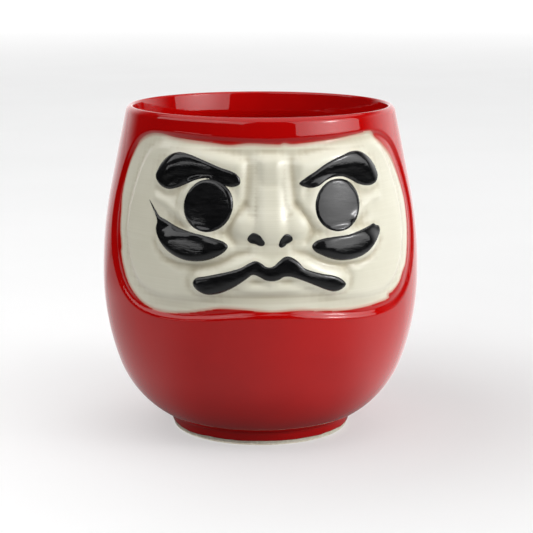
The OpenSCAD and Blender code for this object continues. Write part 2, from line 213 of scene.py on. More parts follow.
MARKS = {
    "brow_left": [
        (-34.9, 75.7), (-34.2, 77.9), (-32.6, 80), (-30.2, 81.7), (-27.3, 82.5), (-24, 82.2), (-20.5, 81.3),
        (-17, 80.2), (-13.6, 79.1), (-11, 78.4), (-9.2, 77.6), (-8.2, 76.4), (-8.2, 75.2), (-9.4, 74.5),
        (-11.2, 74.4),
        (-13.2, 75), (-15.4, 75.8), (-18, 76.3), (-21, 75.7), (-24, 74.4), (-26.8, 73.3), (-29.4, 72.8),
        (-31.8, 73.2),
        (-33.8, 74.3),
    ],
    "brow_right": [
        (8, 75.1), (10.2, 76.7), (12.8, 78), (15.6, 79.5), (18.6, 80.7), (21.8, 81.6), (25, 82.4), (28, 82.4),
        (30.8, 81.4), (33, 79.8), (34.6, 77.6), (35.1, 75.6), (34, 73.9), (31.8, 73.2), (29, 73.3),
        (26.4, 74),
        (24, 75.2), (21.5, 76.2), (18.6, 76.3), (16, 75.6), (13.6, 74.3), (11.6, 73.9), (9.6, 74.2),
    ],
    "eye_left": [
        (-9.9, 69.6), (-10.6, 72.8), (-12.9, 75.1), (-16.2, 76.1), (-19.7, 75.5), (-22.5, 73.2), (-23.9, 70),
        (-23.4, 66.6), (-21.2, 63.9), (-17.8, 62.6), (-14.2, 63.2), (-11.2, 65.7),
    ],
    "eye_right": [
        (26.2, 69), (25.5, 72.4), (23.2, 74.9), (19.8, 75.8), (16.4, 75.2), (13.6, 72.9), (12.3, 69.6),
        (12.8, 66.1), (15, 63.5), (18.4, 62.3), (22, 62.9), (25, 65.5),
    ],
    "cheek_left": [
        (-36.2, 69.4), (-34.9, 68.4), (-33.2, 66.9), (-31.6, 65.5), (-29.4, 64.8), (-26.5, 63.7),
        (-23.5, 62.8),
        (-20.5, 62.1), (-17.3, 61.6), (-14.5, 61), (-12.2, 60.3), (-11, 59.2), (-11.7, 57.9), (-13.4, 56.6),
        (-16, 55.4), (-19, 54.8), (-22.5, 54.8), (-25.6, 55.6), (-28.3, 56.8), (-30.6, 58.6), (-32, 60.4),
        (-32.7, 62.3), (-32.4, 64.2), (-33.4, 66), (-34.8, 67.8),
    ],
    "cheek_right": [
        (10.8, 58.9), (11.8, 60.1), (14.6, 60.8), (18.4, 61), (22, 61.2), (25.6, 61.9), (28.5, 62.6),
        (30.8, 63.1),
        (31.7, 62.6), (32.9, 62.2), (33.2, 61.1), (32.3, 59.5), (30.8, 57.9), (28.8, 56.4), (26.4, 55.3),
        (23.8, 54.7),
        (21, 54.5), (18.4, 54.7), (15.8, 55.4), (13.4, 56.5), (11.5, 57.6),
    ],
    "nostril_left": [
        (-6, 61), (-5.6, 62), (-4.7, 62.7), (-3.7, 62.6), (-2.7, 62), (-2, 61.1), (-1.5, 60.2), (-1.8, 59.5),
        (-2.8, 59.4), (-4, 59.9), (-5.3, 60.2),
    ],
    "nostril_right": [
        (2.1, 59.3), (2.3, 60.5), (2.9, 61.5), (3.8, 62.3), (4.7, 62.3), (5.5, 61.7), (5.7, 60.8), (5, 60.2),
        (4.2, 59.8), (3.4, 59.1), (2.7, 58.9),
    ],
    "moustache": [
        (-20.3, 49.3), (-19.4, 50.4), (-17, 51), (-13.4, 51.9), (-10, 52.8), (-7.5, 53.7), (-5.5, 54.9),
        (-3.9, 55.5),
        (-2.4, 54.9), (-1.2, 54), (-0.2, 53.8), (0.8, 54.2), (2, 55.3), (3.2, 56.3), (4.4, 56.6), (5.8, 56.1),
        (7.2, 55), (8.6, 53.4), (10.6, 52.5), (13.4, 51.6), (16.7, 50.8), (19, 49.7), (20.3, 48.2), (19, 47),
        (16.7, 46.6), (14.4, 47.3), (12, 48.4), (9.6, 49.5), (7, 50.6), (4.8, 51.3), (3.2, 51.2), (2, 50.5),
        (0.4, 50.2), (-1.4, 50.5), (-3, 51.4), (-4.5, 51.9), (-6, 50.9), (-8, 49.4), (-10.4, 47.9),
        (-13.4, 46.6),
        (-16.4, 46.2), (-18.8, 47), (-20.1, 48.2),
    ],
}


def smooth_loop(points, step):
    """Closed curve through the points, cut into steps of about the given length."""
    p = np.array(points, float)
    n = len(p)
    fine = []
    for i in range(n):
        a, b, c, d = p[i - 1], p[i], p[(i + 1) % n], p[(i + 2) % n]
        ka, kb, kc = (max(np.hypot(*(y - x)) ** 0.5, 1e-6) for x, y in ((a, b), (b, c), (c, d)))
        # centripetal Catmull-Rom, which neither overshoots nor loops
        m1 = (b - a) / ka - (c - a) / (ka + kb) + (c - b) / kb
        m2 = (c - b) / kb - (d - b) / (kb + kc) + (d - c) / kc
        m1, m2 = m1 * kb, m2 * kb
        for t in np.linspace(0, 1, 24, endpoint=False):
            h = t * t * (3 - 2 * t)
            fine.append(
                b * (1 - h) + c * h + m1 * (t ** 3 - 2 * t ** 2 + t) + m2 * (t ** 3 - t ** 2)
            )
    fine = np.array(fine)
    closed = np.vstack([fine, fine[:1]])
    run = np.concatenate([[0], np.cumsum(np.hypot(*np.diff(closed, axis=0).T))])
    count = max(8, int(round(run[-1] / step)))
    at = np.linspace(0, run[-1], count, endpoint=False)
    return np.stack([np.interp(at, run, closed[:, k]) for k in (0, 1)], 1)


def inside_loop(q, loop):
    """Which of the points q lie inside the closed loop."""
    x, y = q[:, 0], q[:, 1]
    hit = np.zeros(len(q), bool)
    for (x1, y1), (x2, y2) in zip(loop, np.roll(loop, -1, axis=0)):
        if y1 == y2:
            continue
        cross = ((y1 > y) != (y2 > y)) & (x < (x2 - x1) * (y - y1) / (y2 - y1) + x1)
        hit ^= cross
    return hit


def distance(q, line, closed=False):
    """Distance from each point q to a line of points."""
    line = np.array(line, float)
    a = line if closed else line[:-1]
    b = np.roll(line, -1, axis=0) if closed else line[1:]
    out = np.empty(len(q))
    ab = b - a
    length = np.maximum((ab ** 2).sum(1), 1e-12)
    for i in range(0, len(q), 4000):
        d = q[i:i + 4000, None] - a[None]
        t = np.clip((d * ab).sum(2) / length, 0, 1)
        out[i:i + 4000] = np.sqrt(((d - t[..., None] * ab) ** 2).sum(2)).min(1)
    return out


def signed(q, loop):
    """Distance to a closed loop, positive inside it."""
    return np.where(inside_loop(q, loop), 1.0, -1.0) * distance(q, loop, True)


pocket_loop = smooth_loop(POCKET, 0.7)

# ---------------------------------------------------------------- relief of the face


def ease(a, b, x):
    t = np.clip((x - a) / (b - a), 0, 1)
    return t * t * (3 - 2 * t)


def bell(x):
    return np.exp(-x * x)


def curve(table, x):
    """Smooth curve through the rows of a table, by cubic pieces."""
    t = np.array(table, float)
    x0, y0 = t[:, 0], t[:, 1]
    m = np.gradient(y0, x0)
    i = np.clip(np.searchsorted(x0, x) - 1, 0, len(t) - 2)
    w = x0[i + 1] - x0[i]
    u = np.clip((x - x0[i]) / w, 0, 1)
    h = u * u * (3 - 2 * u)
    return (
        y0[i] * (1 - h) + y0[i + 1] * h
        + w * m[i] * (u ** 3 - 2 * u ** 2 + u) + w * m[i + 1] * (u ** 3 - u ** 2)
    )


def either(a, b, k=0.25):
    """The higher of two surfaces, with the crease between them filled to about k."""
    return 0.5 * (a + b + np.sqrt((a - b) ** 2 + k * k))


MASS = [
    (46.3, 62), (45.6, 70), (43.6, 77), (40.4, 82), (36, 84.2), (30, 84.4), (22, 84.2), (14, 83), (8.4, 81.6),
    (0, 82.1), (-8.4, 81.6), (-14, 83), (-22, 84.2), (-30, 84.4), (-36, 84.2), (-40.4, 82), (-43.6, 77),
    (-45.6, 70), (-46.3, 62), (-44.2, 54), (-40, 47.8), (-35, 45), (-28, 43.9), (-20, 44.6), (-10, 46),
    (0, 46.4), (10, 46), (20, 44.6), (28, 43.9), (35, 45), (40, 47.8), (44.2, 54),
]
mass_loop = smooth_loop(MASS, 1.0)
MASS_HEIGHT, LIP_RIDGE, FOLD_DEPTH = 0.8, 0.85, 0.75
NOSE_SHARE = 0.86  # how much of the ridge's full height the softened nose has
NOSE_TOP = [  # height, and how far the nose's ridge stands out there
    (54, 0.7), (56, 1.0), (57.4, 1.25), (58.8, 1.6), (60, 2.1), (61.5, 2.65), (63, 3.05), (65, 3.2),
    (67, 3.05), (69, 2.7), (72, 2.4), (73.6, 2.15), (74.5, 1.85), (75.6, 2.0), (77.5, 2.4),
    (79.6, 2.7), (80.8, 2.6), (81.7, 1.9), (82.6, 0.6), (84, 0),
]
NOSE_HALF = [  # height, and half the nose's width there
    (54, 2), (57, 3.2), (59, 4.2), (61, 5.2), (63.5, 5.8), (66.5, 5.9), (69, 5.7), (72, 5.5), (75, 5.3),
    (84, 5.3),
]


def relief(q):
    """Height of the moulded face above its flat border."""
    # laid out flat as the outlines are, so what is raised sits closer to the middle and higher
    u, z = np.abs(q[:, 0]) * 1.05, q[:, 1] - 0.35
    p = np.stack([u, z], 1)
    mass = ease(-1.6, 1.7, signed(p, mass_loop))

    def dome(x, y, rx, ry):
        return np.maximum(1 - ((u - x) / rx) ** 2 - ((z - y) / ry) ** 2, 0)

    # brow ridge: a steep upper edge, a longer fall towards the eye
    crest = curve([(6, 79.2), (10, 79.6), (16, 80.6), (23, 81.3), (29, 80), (36, 75)], u)
    over = z - crest
    brow = 1.35 * np.where(over > 0, bell(over / 2.7), bell(over / 4.6))
    brow *= ease(4.6, 9.6, u) * (1 - ease(30, 38, u))
    ball = 1.0 * ease(0, 0.5, dome(18, 69.2, 9.6, 8.6))
    lid = 0.4 * bell(distance(p, [(23.6, 65.4), (27, 67.4), (31, 69.6), (34, 70)]) / 1.1)
    lid -= 0.35 * bell(distance(p, [(24.6, 74), (28, 71.6), (31, 70.9), (34.5, 72.6)]) / 1.0)
    cheek = 1.35 * ease(0, 0.85, dome(21.4, 58.7, 12.8, 5.6))
    # whisker ridge of the upper lip, with a sharp line above it
    spine = distance(p, [(0, 52.6), (4.4, 53.8), (8.4, 52.3), (13, 49.9), (17.6, 48.7)])
    lip = LIP_RIDGE * (1 - ease(1.4, 4.4, spine))
    chin = 0.55 * ease(0, 0.8, dome(0, 48, 10.5, 2.1))
    cheek_fold = [(5, 58), (9, 57), (14, 54.8), (19, 53.2), (25, 53.2), (30, 55), (33.4, 58.4)]
    folds = (
        0.55 * bell(distance(p, cheek_fold) / 0.95)
        + 0.5 * bell(distance(p, [(20.6, 52.4), (22.6, 50), (21.8, 47), (19, 45.6)]) / 1.0)
        + 0.32 * bell(distance(p, [(0.8, 48.9), (5, 49.9)]) / 0.75)
        + 0.3 * bell(distance(p, [(3, 49.3), (8, 48), (13.5, 46.5)]) / 0.8)
        + 0.25 * bell(distance(p, [(12, 62.4), (17, 61.7), (24, 63), (29, 65.4)]) / 1.0)
    )
    groove = 0.5 * bell(distance(p, [(6.3, 84), (6.3, 76), (6.5, 72), (7, 69.6)]) / 1.3)
    groove += 0.45 * bell(
        distance(p, [(7, 69.6), (8.4, 67.9), (10.2, 66), (11.3, 63.8), (11.2, 61.8), (9.8, 60)]) / 0.9
    )
    strip = 0.25 * bell(distance(p, [(8.4, 75), (8.5, 71), (9.8, 68.4)]) / 0.9)
    cheek *= 1 - ease(0.2, 1.2, lip)
    raised = either(brow, ball, 0.5) + lid + cheek + lip + chin + strip
    soft = mass * (MASS_HEIGHT + raised - FOLD_DEPTH * folds)

    half = curve(NOSE_HALF, z)
    side = 1 - ease(0.25, 1.3, u / half)
    nose = NOSE_SHARE * curve(NOSE_TOP, z) * side * (z > 54) * (z < 84)
    tip = 2.6 * ease(-0.1, 1.05, dome(0, 64, 7.4, 6.2))
    wing = 2.3 * ease(-0.1, 1.1, dome(6.9, 64.2, 5.0, 5.0))
    floor = 1.5 * (1 - ease(4, 9, u)) * ease(54, 56, z) * (1 - ease(59, 62, z))
    nose = either(either(nose, tip, 0.4), either(wing, floor * mass, 0.2), 0.6)
    return either(soft, nose - 0.05 - 0.3, 0.3) - 0.05 - mass * groove * (1 - ease(2, 2.8, nose))


def settle(loop):
    """The outlines are drawn as the camera sees them, on a smooth sheet a little inside the
    cup's surface. Moves their points along the line of sight onto the moulded face."""
    depth = 0.8 + 0.35 * (1 - ease(56, 76, loop[:, 1]))
    start = on_cup(loop, -depth) / MM
    sight = FRONT - start
    sight /= np.sqrt((sight ** 2).sum(1))[:, None]
    t = np.zeros(len(loop))
    for _ in range(6):
        x, y, z = (start + t[:, None] * sight).T
        r = np.hypot(x, y)
        flat = np.stack([WRAP * np.arctan2(x, -y), z], 1)
        facing = (x * sight[:, 0] + y * sight[:, 1]) / r
        t += (face_height(flat) + wall_r(z) - r) / np.maximum(facing, 0.3)
    return flat


def uneven(q, scale, seed):
    """Slow hand-made unevenness from -1 to 1 at each point."""
    return np.array([noise.noise(Vector((x / scale, y / scale, seed))) for x, y in q])


def face_height(q):
    """Height of the ceramic's surface against the cup's plain outside."""
    into = signed(q, pocket_loop)
    return -RECESS * ease(-0.35, 1.3, into) + relief(q) * ease(0.5, 2.2, into)


def on_cup(q, h):
    """Points in metres: q round the cup and up, h outwards from the plain outside."""
    r = wall_r(q[:, 1], -h)
    a = q[:, 0] / WRAP
    return np.stack([r * np.sin(a), -r * np.cos(a), q[:, 1]], 1) * MM


window_loop = settle(smooth_loop(WINDOW, 0.5))

# ---------------------------------------------------------------- meshes


def hex_grid(box, step):
    x0, z0, x1, z1 = box
    rows = np.arange(z0, z1, step * 0.866)
    out = []
    for k, z in enumerate(rows):
        x = np.arange(x0 + (k % 2) * step / 2, x1, step)
        out.append(np.stack([x, np.full(len(x), z)], 1))
    return np.concatenate(out)


def triangulate(free, loops):
    """Constrained triangulation of free points and closed loops. Gives points, triangles."""
    pts = np.concatenate([*loops, free]) if len(free) else np.concatenate(loops)
    edges, start = [], 0
    for loop in loops:
        n = len(loop)
        edges += [(start + i, start + (i + 1) % n) for i in range(n)]
        start += n
    got = delaunay_2d_cdt([Vector(p) for p in pts.tolist()], edges, [], 0, 1e-6)
    return np.array([tuple(v) for v in got[0]]), np.array([tuple(f) for f in got[2]])


def fill(loop, step, margin=0.35):
    """Even triangles inside a closed loop."""
    box = (*loop.min(0), *loop.max(0))
    grid = hex_grid(box, step)
    grid = grid[signed(grid, loop) > step * margin]
    pts, tris = triangulate(grid, [loop])
    keep = inside_loop(pts[tris].mean(1), loop)
    return pts, tris[keep]


def upright(pts, tris):
    """Turns each flat triangle anticlockwise."""
    a, b, c = (pts[tris[:, k]] for k in range(3))
    area = (b[:, 0] - a[:, 0]) * (c[:, 1] - a[:, 1]) - (b[:, 1] - a[:, 1]) * (c[:, 0] - a[:, 0])
    tris = tris[np.abs(area) > 1e-9]
    area = area[np.abs(area) > 1e-9]
    return np.where((area < 0)[:, None], tris[:, ::-1], tris)


def close_slab(top, under, faces):
    """One closed shell from two layers of the same faces, joined along their open edges."""
    n = len(top)
    used = {}
    for f in faces:
        for i in range(len(f)):
            e = (f[i], f[(i + 1) % len(f)])
            used[e] = True
    rim = [e for e in used if (e[1], e[0]) not in used]
    out = [tuple(f) for f in faces]
    out += [tuple(n + i for i in reversed(f)) for f in faces]
    out += [(b, a, n + a, n + b) for a, b in rim]
    return np.concatenate([top, under]), out


def weld(points, faces):
    """Drops points that no face uses."""
    used = sorted({i for f in faces for i in f})
    to = {old: new for new, old in enumerate(used)}
    return points[used], [tuple(to[i] for i in f) for f in faces], used


def make(name, points, faces, material, nodes, values=None, sharp=38):
    mesh = bpy.data.meshes.new(name)
    mesh.from_pydata(points.tolist(), [], faces)
    for key, data in (values or {}).items():
        layer = mesh.attributes.new(key, "FLOAT", "POINT")
        layer.data.foreach_set("value", np.asarray(data, np.float32))
    mesh.materials.append(material)
    mesh.validate()
    mesh.shade_smooth()
    mesh.set_sharp_from_angle(angle=math.radians(sharp))
    mesh.update()
    obj = bpy.data.objects.new(name, mesh)
    bpy.context.scene.collection.objects.link(obj)
    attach(obj, "root")
    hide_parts(*nodes)
    return obj


def turn(profile, count, wobble=None):
    """Points and faces of a profile turned round the axis, from pole to pole."""
    low, rows, high = profile[0], profile[1:-1], profile[-1]
    n = len(rows)
    a = np.arange(count) * 2 * math.pi / count
    pts = np.empty((count, n, 3))
    for k, (r, z) in enumerate(rows):
        around = r + (0 if wobble is None else wobble(r, z, a))
        pts[:, k] = np.stack([around * np.sin(a), -around * np.cos(a), np.full(count, z)], 1)
    pole = count * n
    faces = []
    for i in range(count):
        j = (i + 1) % count
        faces.append((pole, j * n, i * n))
        faces.append((i * n + n - 1, j * n + n - 1, pole + 1))
        for k in range(n - 1):
            faces.append((i * n + k, j * n + k, j * n + k + 1, i * n + k + 1))
    poles = [(0, 0, low[1]), (0, 0, high[1])]
    return np.vstack([pts.reshape(-1, 3), poles]) * MM, faces


# ---------------------------------------------------------------- materials


class Nodes:
    """Small helper that builds a node tree."""

    def __init__(self, name):
        self.mat = bpy.data.materials.new(name)
        self.mat.use_nodes = True
        self.tree = self.mat.node_tree
        self.shader = self.tree.nodes["Principled BSDF"]

    def add(self, kind, inputs=None, **props):
        n = self.tree.nodes.new(kind)
        for k, v in props.items():
            setattr(n, k, v)
        for k, v in (inputs or {}).items():
            self.put(n.inputs[k], v)
        return n

    def put(self, socket, v):
        if isinstance(v, bpy.types.NodeSocket):
            self.tree.links.new(v, socket)
        else:
            socket.default_value = v

    def set(self, **inputs):
        for k, v in inputs.items():
            self.put(self.shader.inputs[k.replace("_", " ")], v)

    def coords(self, scale):
        c = self.add("ShaderNodeTexCoord")
        return self.add("ShaderNodeMapping", {"Vector": c.outputs["Object"], "Scale": scale}).outputs[0]

    def noise(self, scale, size, detail=3.0, rough=0.5):
        return self.add(
            "ShaderNodeTexNoise",
            {"Vector": self.coords(scale), "Scale": size, "Detail": detail, "Roughness": rough},
        ).outputs["Fac"]

    def ramp(self, fac, stops, mode="EASE"):
        r = self.add("ShaderNodeValToRGB", {"Fac": fac})
        r.color_ramp.interpolation = mode
        while len(r.color_ramp.elements) < len(stops):
            r.color_ramp.elements.new(0.5)
        for e, (at, colour) in zip(r.color_ramp.elements, stops):
            e.position = at
            e.color = (*colour, 1)
        return r.outputs["Color"]

    def mix(self, fac, a, b, blend="MIX"):
        m = self.add("ShaderNodeMix", data_type="RGBA", blend_type=blend)
        for socket, v in ((m.inputs[0], fac), (m.inputs[6], a), (m.inputs[7], b)):
            self.put(socket, (*v, 1) if isinstance(v, tuple) and len(v) == 3 else v)
        return m.outputs[2]

    def math(self, op, *values):
        m = self.add("ShaderNodeMath", operation=op)
        for socket, v in zip(m.inputs, values):
            self.put(socket, v)
        return m.outputs[0]

    def attribute(self, name):
        return self.add("ShaderNodeAttribute", attribute_name=name).outputs["Fac"]

    def bump(self, parts):
        """Bumps on top of each other, each (height, strength, distance in metres)."""
        normal = None
        for height, strength, depth in parts:
            b = self.add("ShaderNodeBump", {"Strength": strength, "Distance": depth, "Height": height})
            if normal is not None:
                self.put(b.inputs["Normal"], normal)
            normal = b.outputs["Normal"]
        self.put(self.shader.inputs["Normal"], normal)


def red_glaze():
    n = Nodes("red_glaze")
    mottle = n.noise((1, 1, 1), 55, 4)
    base = n.ramp(mottle, [(0.3, (0.45, 0.0015, 0.0012)), (0.7, (0.50, 0.002, 0.0015))])
    streak = n.noise((1, 1, 6), 40, 3)
    base = n.mix(n.math("MULTIPLY", streak, 0.25), base, (0.38, 0.001, 0.001))
    thin = n.attribute("thin")
    pink = n.ramp(thin, [(0.0, (0.5, 0.02, 0.015)), (0.55, (0.55, 0.08, 0.06)), (1.0, (0.66, 0.42, 0.33))])
    base = n.mix(thin, base, pink)
    n.set(Base_Color=base, Roughness=0.04, IOR=1.5)
    n.bump([(n.noise((1, 1, 1), 32, 2), 0.10, 0.002), (n.noise((1, 1, 2.5), 260, 2), 0.04, 0.0004)])
    return n.mat


def ivory_glaze():
    n = Nodes("ivory_glaze")
    lines = n.noise((6, 6, 260), 4.0, 3, 0.6)
    cloud = n.noise((1, 1, 1), 70, 3)
    base = n.ramp(cloud, [(0.3, (0.78, 0.754, 0.62)), (0.7, (0.83, 0.805, 0.67))])
    base = n.mix(n.math("MULTIPLY", lines, 0.35), base, (0.69, 0.655, 0.51))
    # the darker brown in the creases is painted shade, partly the glaze pooling there
    base = n.mix(n.attribute("crease_shade_and_pool"), base, (0.46, 0.40, 0.26))
    base = n.mix(n.attribute("blush"), base, (0.62, 0.25, 0.17))
    n.set(Base_Color=base, Roughness=0.2, IOR=1.5)
    n.bump([(lines, 0.22, 0.0003), (n.noise((1, 1, 1), 300, 2), 0.05, 0.0003)])
    return n.mat


def black_enamel():
    n = Nodes("black_enamel")
    lines = n.noise((1, 1, 4), 260, 4, 0.65)
    base = n.ramp(lines, [(0.3, (0.003, 0.003, 0.0032)), (0.7, (0.008, 0.008, 0.0085))])
    rough = n.math("MULTIPLY_ADD", lines, 0.16, 0.02)
    n.set(Base_Color=base, Roughness=rough, IOR=1.52)
    n.bump([(lines, 0.12, 0.0003), (n.noise((1, 1, 1), 900, 2), 0.05, 0.0001)])
    return n.mat


def bare_clay():
    n = Nodes("bare_clay")
    grain = n.noise((1, 1, 1), 900, 5, 0.7)
    base = n.ramp(grain, [(0.35, (0.62, 0.55, 0.43)), (0.65, (0.74, 0.69, 0.58))])
    n.set(Base_Color=base, Roughness=0.72, IOR=1.45)
    n.bump([(grain, 0.35, 0.0003), (n.noise((1, 1, 12), 60, 3), 0.25, 0.0004)])
    return n.mat


def clear_glaze():
    n = Nodes("clear_glaze")
    cloud = n.noise((1, 1, 1), 80, 3)
    base = n.ramp(cloud, [(0.3, (0.72, 0.68, 0.56)), (0.7, (0.78, 0.75, 0.64))])
    n.set(Base_Color=base, Roughness=0.12, IOR=1.5)
    n.bump([(n.noise((1, 1, 1), 60, 2), 0.2, 0.0006)])
    return n.mat


RED, IVORY, BLACK, CLAY, CLEAR = red_glaze(), ivory_glaze(), black_enamel(), bare_clay(), clear_glaze()

# ---------------------------------------------------------------- outer glaze

COLS = 264
PATCH_S, PATCH_LOW, PATCH_HIGH = 58, 36.5, 89.6  # the finer patch round the face
ROLLED = 0.5  # height of the glaze's rolled lower edge
col_s = (np.arange(COLS) - COLS // 2) * (2 * math.pi * WRAP / COLS)


def foot_edge(a):
    """Height of the red glaze's wavy lower edge at each angle."""
    return BARE + np.array([0.28 * noise.noise(Vector((2.2 * math.cos(x), 2.2 * math.sin(x), 7.0)))
                            + 0.1 * noise.noise(Vector((9 * math.cos(x), 9 * math.sin(x), 3.0))) for x in a])


def build_outer():
    wall = outside(0.0, 1.1)
    # rows on the side of the foot, from the glaze's rolled edge to the rounding above it
    side = [(foot_r(z), z) for z in (1.3, 1.36, 1.5, 1.75, 2.1, 2.45)]
    rows = chain(side, wall)
    inner = []
    for k in range(len(rows)):
        a, b = rows[max(k - 1, 0)], rows[min(k + 1, len(rows) - 1)]
        t = (b - a) / np.hypot(*(b - a))
        inner.append(rows[k] - GLAZE * vec(t[1], -t[0]))
    inner = np.array(inner)
    n_rows = len(rows)
    ang = col_s / WRAP
    edge = foot_edge(ang)
    top = np.empty((n_rows, COLS, 3))
    under = np.empty((n_rows, COLS, 3))
    for k in range(n_rows):
        lift = (edge - BARE) * (1 - ease(1.3, 2.5, rows[k][1]))
        roll = 0.0
        if k < len(side):
            down = 1 - min((rows[k][1] - BARE) / ROLLED, 1)
            roll = GLAZE * 0.75 * (1 - math.sqrt(max(1 - down ** 2, 0)))
        for grid, line, off in ((top, rows, roll), (under, inner, 0.0)):
            r = line[k][0] - off
            grid[k] = np.stack([r * np.sin(ang), -r * np.cos(ang), line[k][1] + lift], 1)
    # the patch round the face
    rising = rows[:n_rows - 14, 1]
    k0 = int(np.searchsorted(rising, PATCH_LOW))
    k1 = int(np.searchsorted(rising, PATCH_HIGH)) - 1
    j0 = int(np.searchsorted(col_s, -PATCH_S))
    j1 = int(np.searchsorted(col_s, PATCH_S))
    patch_z = rows[k0:k1 + 1, 1]
    patch_s = col_s[j0:j1 + 1]
    frame_loop = np.concatenate([
        [(s, patch_z[0]) for s in patch_s[:-1]],
        [(patch_s[-1], z) for z in patch_z[:-1]],
        [(s, patch_z[-1]) for s in patch_s[:0:-1]],
        [(patch_s[0], z) for z in patch_z[:0:-1]],
    ])
    coarse = np.array([(s, z) for s in patch_s[1:-1] for z in patch_z[1:-1]])
    coarse = coarse[signed(coarse, pocket_loop) < -2.2]
    fine = hex_grid((-56.5, 38, 56.5, 89), 0.55)
    sw, sp = signed(fine, window_loop), signed(fine, pocket_loop)
    fine = fine[(sw < -0.25) & (sp > -1.6)]
    pts, tris = triangulate(np.concatenate([coarse, fine]), [window_loop, frame_loop])
    tris = upright(pts, tris)
    tris = tris[~inside_loop(pts[tris].mean(1), window_loop)]
    away = -signed(pts, window_loop)
    into = signed(pts, pocket_loop)
    near = ease(-2.5, -0.5, into)
    ceramic = face_height(pts)
    coat = 0.02 + 0.13 * ease(-0.05, 0.5, away)
    h = (ceramic + coat * ease(-0.6, 1.2, into)) * near
    blend = ease(-1.0, 0.6, into)
    h_low = -GLAZE * (1 - blend) + blend * np.minimum(ceramic - 0.10, h - 0.05)
    p_top, p_low = on_cup(pts, h), on_cup(pts, h_low)
    # glaze is thin near its edge, and thinner still in the upper corners
    corners = 2.2 * bell((pts[:, 0] - 44) / 7) + 0.6 * bell((pts[:, 0] + 42) / 6)
    width = 0.4 + corners * bell((pts[:, 1] - 80.5) / 6.5) + 0.6 * ease(82.5, 84.5, pts[:, 1])
    thin_patch = np.clip(1 - away / width, 0, 1) ** 1.3
    # number the points: grid first, then the patch's own, sharing its frame with the grid
    number = {}
    for j in range(j0, j1 + 1):
        for k in (k0, k1):
            number[(round(col_s[j], 3), round(rows[k, 1], 3))] = k * COLS + j
    for k in range(k0, k1 + 1):
        for j in (j0, j1):
            number[(round(col_s[j], 3), round(rows[k, 1], 3))] = k * COLS + j
    index = np.empty(len(pts), int)
    extra = []
    for i, (s, z) in enumerate(pts):
        g = number.get((round(s, 3), round(z, 3)))
        if g is None:
            g = n_rows * COLS + len(extra)
            extra.append(i)
        index[i] = g
    faces = []
    for k in range(n_rows - 1):
        for j in range(COLS):
            m = (j + 1) % COLS
            if k0 <= k < k1 and j0 <= j < j1:
                continue
            faces.append((k * COLS + j, k * COLS + m, (k + 1) * COLS + m, (k + 1) * COLS + j))
    faces += [tuple(int(index[i]) for i in t) for t in tris]
    top = np.concatenate([top.reshape(-1, 3) * MM, p_top[extra]])
    under = np.concatenate([under.reshape(-1, 3) * MM, p_low[extra]])
    thin = np.concatenate([np.zeros(n_rows * COLS), thin_patch[extra]])
    top, faces, used = weld(top, faces)
    under, thin = under[used], thin[used]
    points, faces = close_slab(top, under, faces)
    both = {"thin": np.concatenate([thin, thin])}
    make("outer_glaze_coat", points, faces, RED, ["outer_glaze"], both)


def build_inner():
    top, under = inside(0.0, 1.3), inside(GLAZE, 1.3)
    n = min(len(top), len(under))
    count = 192
    a = np.arange(count) * 2 * math.pi / count

    def ring_grid(line):
        return np.concatenate([
            np.stack([r * np.sin(a), -r * np.cos(a), np.full(count, z)], 1) for r, z in line
        ]) * MM

    faces = []
    for k in range(n - 1):
        for j in range(count):
            m = (j + 1) % count
            faces.append((k * count + j, k * count + m, (k + 1) * count + m, (k + 1) * count + j))
    t, u = ring_grid(top[:n]), ring_grid(under[:n])
    t = np.vstack([t, [[0, 0, FLOOR * MM]]])
    u = np.vstack([u, [[0, 0, (FLOOR - GLAZE) * MM]]])
    last = (n - 1) * count
    faces += [(last + j, last + (j + 1) % count, n * count) for j in range(count)]
    points, faces = close_slab(t, u, faces)
    thick = {"thin": np.zeros(len(points))}
    make("inner_glaze_coat", points, faces, RED, ["inner_glaze"], thick)


def build_clay():
    rim = foot_r(0, GLAZE) + 0.12
    hollow = FOOT_R - FOOT_W
    under = GLAZE + 0.03
    ring = chain(
        [(0, HOLLOW), (1.5, HOLLOW), (8, HOLLOW), (15, HOLLOW), (hollow - 0.9, HOLLOW)],
        [(hollow - 0.35, HOLLOW - 0.12), (hollow - 0.08, HOLLOW - 0.4), (hollow, HOLLOW - 0.9)],
        [(hollow + 0.04, 0.9), (hollow + 0.16, 0.42), (hollow + 0.4, 0.12)],
        [(hollow + 0.75, 0), (hollow + 1.4, 0)],
        [(rim - 1.0, 0), (rim - CHAMFER - 0.1, 0.02), (rim - 0.2, 0.14), (rim - 0.05, 0.34), (rim, 0.6)],
        [(foot_r(1.0, GLAZE) + 0.12, 1.0), (foot_r(1.4, GLAZE) + 0.1, 1.4), (foot_r(1.8, under), 1.8)],
        outside(under, 1.0, 0.9 + under),
        inside(under, 1.5),
        [(0, FLOOR - under)],
    )

    def wobble(r, z, a):
        if z < 2.0 and r > hollow - 1:
            rough = [noise.noise(Vector((7 * math.cos(x), 7 * math.sin(x), z * 2.2))) for x in a]
            return np.array(rough) * 0.06
        if 30 < z < 90.5 and r > wall_r(z, 2.0):
            # the pocket that the face sits in
            s = np.where(a > math.pi, a - 2 * math.pi, a) * WRAP
            return -2.0 * ease(-1.6, -0.4, signed(np.stack([s, np.full(len(s), z)], 1), pocket_loop))
        return np.zeros(len(a))

    points, faces = turn(ring, 240, wobble)
    make("clay_body_fired", points, faces, CLAY, ["clay_body"], sharp=45)


